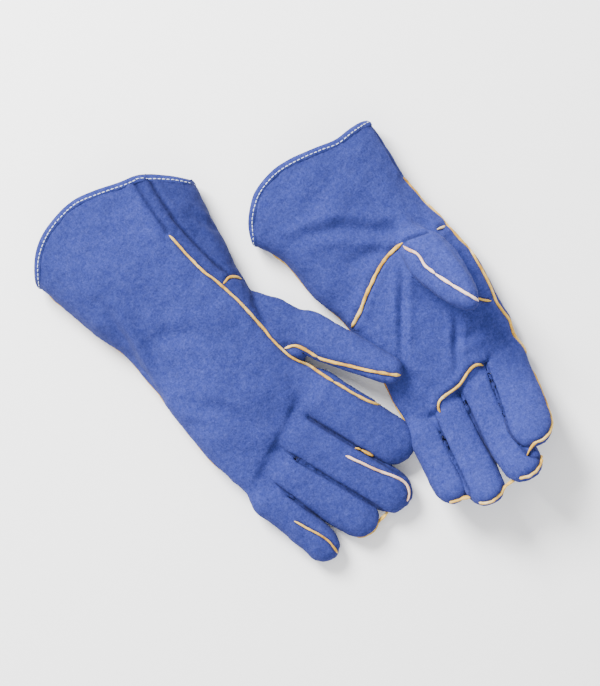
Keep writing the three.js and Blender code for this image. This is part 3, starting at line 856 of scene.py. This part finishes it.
def welt_pieces(glove, skin):
    """Every welt, cut into lengths where it passes from the hand to a digit."""
    for number, (seam, (places, outward)) in enumerate(glove["seams"].items()):
        which, reach, closest, _ = nearest_digit(glove, places)
        past = past_bend(glove, which, reach) & (closest < WELT_NEAR)
        body = np.where(past & (seam not in glove["hand_seams"]), which, CUFF)
        cuts = [0] + [i for i in range(1, len(body)) if body[i] != body[i - 1]] + [len(body) - 1]
        for start, end in zip(cuts, cuts[1:]):
            if end - start < SHORTEST_WELT:
                continue
            run = slice(start, end + 1)
            owner = int(body[start])
            part = "hand" if owner == CUFF else DIGITS[owner]
            half, proud = glove["welt_sizes"].get(seam, WELT_SIZE)
            name = f"{glove['name']}_{part}_{seam}_leather_welt"
            obj = strip_mesh(name, places[run], outward[run], half * MM, proud * MM,
                             glove["seed"] * 31 + number)
            finish = PALE_WELT if seam in glove["pale_seams"] else WELT
            attach(obj, glove, owner, welt_nodes(seam, owner), finish)


def welt_nodes(seam, owner):
    """The CAD welts that a length of visible welt stands for."""
    if owner < len(DIGITS):
        return [f"{DIGITS[owner]}_welt"]
    if seam.startswith("wrist"):
        return ["wrist_welt"]
    return [f"{part}_{side}_welt" for part in ("hand", "cuff") for side in ("thumb_side", "outer")]


def hem_loop(skin):
    """The vertices of the cuff's open edge in order."""
    following = dict(open_edges(skin.f).tolist())
    start = min(following)
    loop = [start]
    while following[loop[-1]] != start:
        loop.append(following[loop[-1]])
    return loop


def hem_pieces(glove, skin):
    """The turned hem as a soft roll over the cut edge, and the stitches that hold it."""
    loop = hem_loop(skin)
    places, outward = skin.v[loop], skin.normals()[loop]
    for _ in range(HEM_ROUNDS):
        places = (np.roll(places, 1, 0) + 2 * places + np.roll(places, -1, 0)) / 4
        outward = (np.roll(outward, 1, 0) + 2 * outward + np.roll(outward, -1, 0)) / 4
    outward /= np.linalg.norm(outward, axis=1, keepdims=True)
    ahead = np.roll(places, -1, 0) - np.roll(places, 1, 0)
    ahead /= np.linalg.norm(ahead, axis=1, keepdims=True)
    inward = np.cross(outward, ahead)
    inward *= np.sign(-inward[:, 1:2].mean())
    roll_piece(glove, places, outward, inward)
    stitches(glove, places, outward, inward, ahead)


def roll_piece(glove, places, outward, inward):
    """The turned hem: a flat roll of uneven thickness round the cuff's mouth."""
    verts = []
    middle = places + inward * HEM_ROLL_IN - outward * HEM_ROLL_DOWN
    thick = HEM_ROLL_THICK + 0.25 * MM * noise_at(places, 9 * MM, glove["seed"] + 9)
    for k in range(HEM_ROLL_SIDES):
        angle = 2 * math.pi * k / HEM_ROLL_SIDES
        verts.append(middle + inward * (HEM_ROLL_HALF * math.cos(angle))
                     + outward * (thick * math.sin(angle))[:, None])
    verts = np.stack(verts, axis=1).reshape(-1, 3)
    faces = tube_faces(len(places), HEM_ROLL_SIDES, closed=True)
    obj = new_mesh_object(glove["name"] + "_cuff_turned_hem", verts, faces)
    facing_out(obj)
    # No painted shade on the hem: far from every seam, at the cuff's dye tone.
    for label, value in (("seam", 9.0), ("tone", glove["tones"]["cuff"])):
        attribute = obj.data.attributes.new(label, "FLOAT", "POINT")
        attribute.data.foreach_set("value", [value] * len(verts))
    attach(obj, glove, CUFF, ["cuff_back", "cuff_palm"], SUEDE)


def facing_out(obj):
    """Turns a closed mesh's faces outwards."""
    mesh = bmesh.new()
    mesh.from_mesh(obj.data)
    bmesh.ops.recalc_face_normals(mesh, faces=mesh.faces)
    mesh.to_mesh(obj.data)
    mesh.free()


def stitches(glove, places, outward, inward, ahead):
    """Short rounded stitches in a row a little inside the hem."""
    steps = np.linalg.norm(np.diff(np.vstack([places, places[:1]]), axis=0), axis=1)
    run = np.concatenate([[0], np.cumsum(steps)])
    pitch = run[-1] / round(run[-1] / STITCH_PITCH)
    parts = []
    for number in range(int(round(run[-1] / pitch))):
        at = number * pitch
        i = min(int(np.searchsorted(run, at, side="right")) - 1, len(places) - 1)
        centre = (places[i] + ahead[i] * (at - run[i]) + inward[i] * HEM_STITCH_IN
                  + outward[i] * STITCH_LIFT)
        parts.append(capsule(centre, ahead[i], outward[i], inward[i]))
    obj = joined(glove["name"] + "_hem_thread", parts)
    attach(obj, glove, CUFF, ["hem_stitching"], THREAD)


def capsule(centre, ahead, outward, inward):
    """One stitch: a small bar, thick in the middle and sunk at both ends."""
    verts = []
    for along, thick, drop in STITCH_SHAPE:
        for k in range(STITCH_SIDES):
            angle = -2 * math.pi * k / STITCH_SIDES
            verts.append(centre + ahead * along + inward * (thick * math.cos(angle))
                         + outward * (thick * math.sin(angle) - drop))
    return verts, tube_faces(len(STITCH_SHAPE), STITCH_SIDES)


# ------------------------------------------------------------------ materials

def new_material(name, roughness, sheen=0.0):
    """A soft, hardly shining material: (material, its node tree, its shader)."""
    material = bpy.data.materials.new(name)
    material.use_nodes = True
    tree = material.node_tree
    shader = tree.nodes["Principled BSDF"]
    shader.inputs["Roughness"].default_value = roughness
    shader.inputs["Specular IOR Level"].default_value = 0.1
    shader.inputs["Sheen Weight"].default_value = sheen
    shader.inputs["Sheen Roughness"].default_value = 0.5
    return material, tree, shader


def object_noise(tree, scale, detail=4.0, roughness=0.6, distortion=0.0):
    """A noise texture's factor socket, in object coordinates."""
    coordinates = tree.nodes.new("ShaderNodeTexCoord")
    texture = tree.nodes.new("ShaderNodeTexNoise")
    texture.inputs["Scale"].default_value = scale
    texture.inputs["Detail"].default_value = detail
    texture.inputs["Roughness"].default_value = roughness
    texture.inputs["Distortion"].default_value = distortion
    tree.links.new(coordinates.outputs["Object"], texture.inputs["Vector"])
    return texture.outputs["Fac"]


def ramp(tree, value, stops):
    """Colours (position, colour) blended by a value."""
    node = tree.nodes.new("ShaderNodeValToRGB")
    elements = node.color_ramp.elements
    while len(elements) < len(stops):
        elements.new(0.5)
    for element, (position, colour) in zip(elements, stops):
        element.position = position
        element.color = (*colour, 1)
    tree.links.new(value, node.inputs["Fac"])
    return node.outputs["Color"]


def mapped(tree, value, from_low, from_high, to_low, to_high):
    """A value taken from one range to another and held inside it."""
    node = tree.nodes.new("ShaderNodeMapRange")
    for name, number in (("From Min", from_low), ("From Max", from_high),
                         ("To Min", to_low), ("To Max", to_high)):
        node.inputs[name].default_value = number
    tree.links.new(value, node.inputs["Value"])
    return node.outputs["Result"]


def attribute_value(tree, name):
    """A number that the mesh holds at its vertices."""
    node = tree.nodes.new("ShaderNodeAttribute")
    node.attribute_name = name
    return node.outputs["Fac"]


def bump(tree, shader, heights):
    """Bumps laid over each other: (height socket, distance, strength)."""
    below = None
    for height, distance, strength in heights:
        node = tree.nodes.new("ShaderNodeBump")
        node.inputs["Distance"].default_value = distance
        node.inputs["Strength"].default_value = strength
        tree.links.new(height, node.inputs["Height"])
        if below is not None:
            tree.links.new(below, node.inputs["Normal"])
        below = node.outputs["Normal"]
    tree.links.new(below, shader.inputs["Normal"])


def suede_material():
    """Blue split cowhide: cloudy dye, a short nap brushed every way, darker at the pressed seam edges,
    with painted shade in the creases, between the digits and on the side panel.
    """
    material, tree, shader = new_material("blue_split_leather", 1.0, 0.02)
    dye = ramp(tree, object_noise(tree, 260, 7, 0.75, 0.5), [
        (0.33, (0.017, 0.023, 0.130)), (0.5, (0.024, 0.032, 0.155)), (0.67, (0.032, 0.041, 0.180)),
    ])
    cloud = mapped(tree, object_noise(tree, 16, 3, 0.5, 0.4), 0.3, 0.7, 0.90, 1.10)
    nap = mapped(tree, object_noise(tree, 620, 5, 0.8, 0.5), 0.32, 0.68, 0.62, 1.42)
    fibres = mapped(tree, object_noise(tree, 1700, 3, 0.7), 0.3, 0.7, 0.80, 1.22)
    colour = dye
    for shade in (cloud, nap, fibres, attribute_value(tree, "tone")):
        colour = multiplied(tree, colour, shade)
    # Darker near seams, creases and the gaps between digits: the pressed seam edge, and painted shade in
    # the creases and gaps.
    seam = mapped(tree, attribute_value(tree, "seam"), 0.4, 2.4, 0.45, 1.0)
    colour = multiplied(tree, colour, seam)
    tree.links.new(colour, shader.inputs["Base Color"])
    bump(tree, shader, [
        (object_noise(tree, 220, 4, 0.6, 0.5), 0.0008, 0.5),
        (object_noise(tree, 900, 3, 0.7), 0.0004, 0.6),
    ])
    return material


def multiplied(tree, colour, value):
    """A colour scaled by a plain number socket."""
    node = tree.nodes.new("ShaderNodeVectorMath")
    node.operation = "SCALE"
    tree.links.new(colour, node.inputs[0])
    tree.links.new(value, node.inputs["Scale"])
    return node.outputs["Vector"]


def welt_material(name, stops):
    """Undyed leather strip, its colour changing along its length, furry at the cut edge."""
    material, tree, shader = new_material(name, 0.85)
    colour = ramp(tree, object_noise(tree, 45, 3, 0.55, 0.5), stops)
    shade = mapped(tree, object_noise(tree, 650, 4, 0.65, 0.4), 0.3, 0.7, 0.78, 1.12)
    tree.links.new(multiplied(tree, colour, shade), shader.inputs["Base Color"])
    bump(tree, shader, [(object_noise(tree, 700, 4, 0.7), 0.0005, 0.7)])
    return material


def cotton_material():
    """Off-white cotton fleece."""
    material, tree, shader = new_material("cotton_fleece", 0.95, 0.2)
    colour = ramp(tree, object_noise(tree, 120, 4, 0.6), [
        (0.3, (0.55, 0.53, 0.49)), (0.7, (0.70, 0.68, 0.63)),
    ])
    tree.links.new(colour, shader.inputs["Base Color"])
    bump(tree, shader, [(object_noise(tree, 800, 4, 0.7), 0.0006, 0.7)])
    return material


def thread_material():
    """Pale sewing thread."""
    material, tree, shader = new_material("pale_thread", 0.7)
    colour = ramp(tree, object_noise(tree, 300, 3), [
        (0.3, (0.42, 0.48, 0.68)), (0.7, (0.66, 0.70, 0.82)),
    ])
    tree.links.new(colour, shader.inputs["Base Color"])
    bump(tree, shader, [(object_noise(tree, 2500, 2), 0.0002, 0.5)])
    return material


# ------------------------------------------------------------------ stage, light and camera

def stage():
    """A plain white floor."""
    bpy.ops.mesh.primitive_plane_add(size=8)
    floor = bpy.context.object
    floor.name = "floor"
    material = bpy.data.materials.new("floor_white")
    material.use_nodes = True
    shader = material.node_tree.nodes["Principled BSDF"]
    shader.inputs["Base Color"].default_value = (0.95, 0.95, 0.95, 1)
    shader.inputs["Roughness"].default_value = 0.9
    floor.data.materials.append(material)


def area_light(name, place, size, power):
    """A square lamp aimed at the middle of the bench."""
    light = bpy.data.lights.new(name, "AREA")
    light.size = size
    light.energy = power
    obj = bpy.data.objects.new(name, light)
    obj.location = place
    obj.rotation_euler = (-Vector(place)).to_track_quat("-Z", "Y").to_euler()
    bpy.context.scene.collection.objects.link(obj)


def lighting():
    """White light from everywhere, and two large lamps that give the folds their shading."""
    world = bpy.data.worlds.new("studio")
    bpy.context.scene.world = world
    world.use_nodes = True
    background = world.node_tree.nodes["Background"]
    background.inputs["Color"].default_value = (1, 1, 1, 1)
    background.inputs["Strength"].default_value = 1.2
    area_light("key", (0.1, 1.5, 1.3), 0.8, 150)
    area_light("fill", (-1.3, -0.6, 1.6), 1.6, 20)


def camera():
    """Straight down on the pair, turned so that the fingers point to the lower right."""
    aim = (cad_low + cad_high) / 2 + AIM_OFFSET
    data = bpy.data.cameras.new("camera")
    data.sensor_width = SENSOR
    data.lens = SENSOR * VIEW_DISTANCE / VIEW_HEIGHT
    obj = bpy.data.objects.new("camera", data)
    obj.location = (aim.x, aim.y, CAMERA_HEIGHT)
    obj.rotation_euler = (0, 0, -math.pi / 4)
    bpy.context.scene.collection.objects.link(obj)
    bpy.context.scene.camera = obj


SUEDE = suede_material()
WELT = welt_material("yellow_welt_leather", [
    (0.32, (0.72, 0.54, 0.30)), (0.40, (0.66, 0.43, 0.11)), (0.52, (0.60, 0.35, 0.05)),
    (0.64, (0.38, 0.19, 0.03)),
])
PALE_WELT = welt_material("pale_welt_leather", [
    (0.35, (0.84, 0.62, 0.52)), (0.5, (0.80, 0.54, 0.42)), (0.62, (0.62, 0.36, 0.22)),
])
COTTON = cotton_material()
THREAD = thread_material()

camera()
stage()
lighting()
for glove in (RIGHT, LEFT):
    skin = glove_skin(glove)
    leather_pieces(glove, skin)
    welt_pieces(glove, skin)
    hem_pieces(glove, skin)
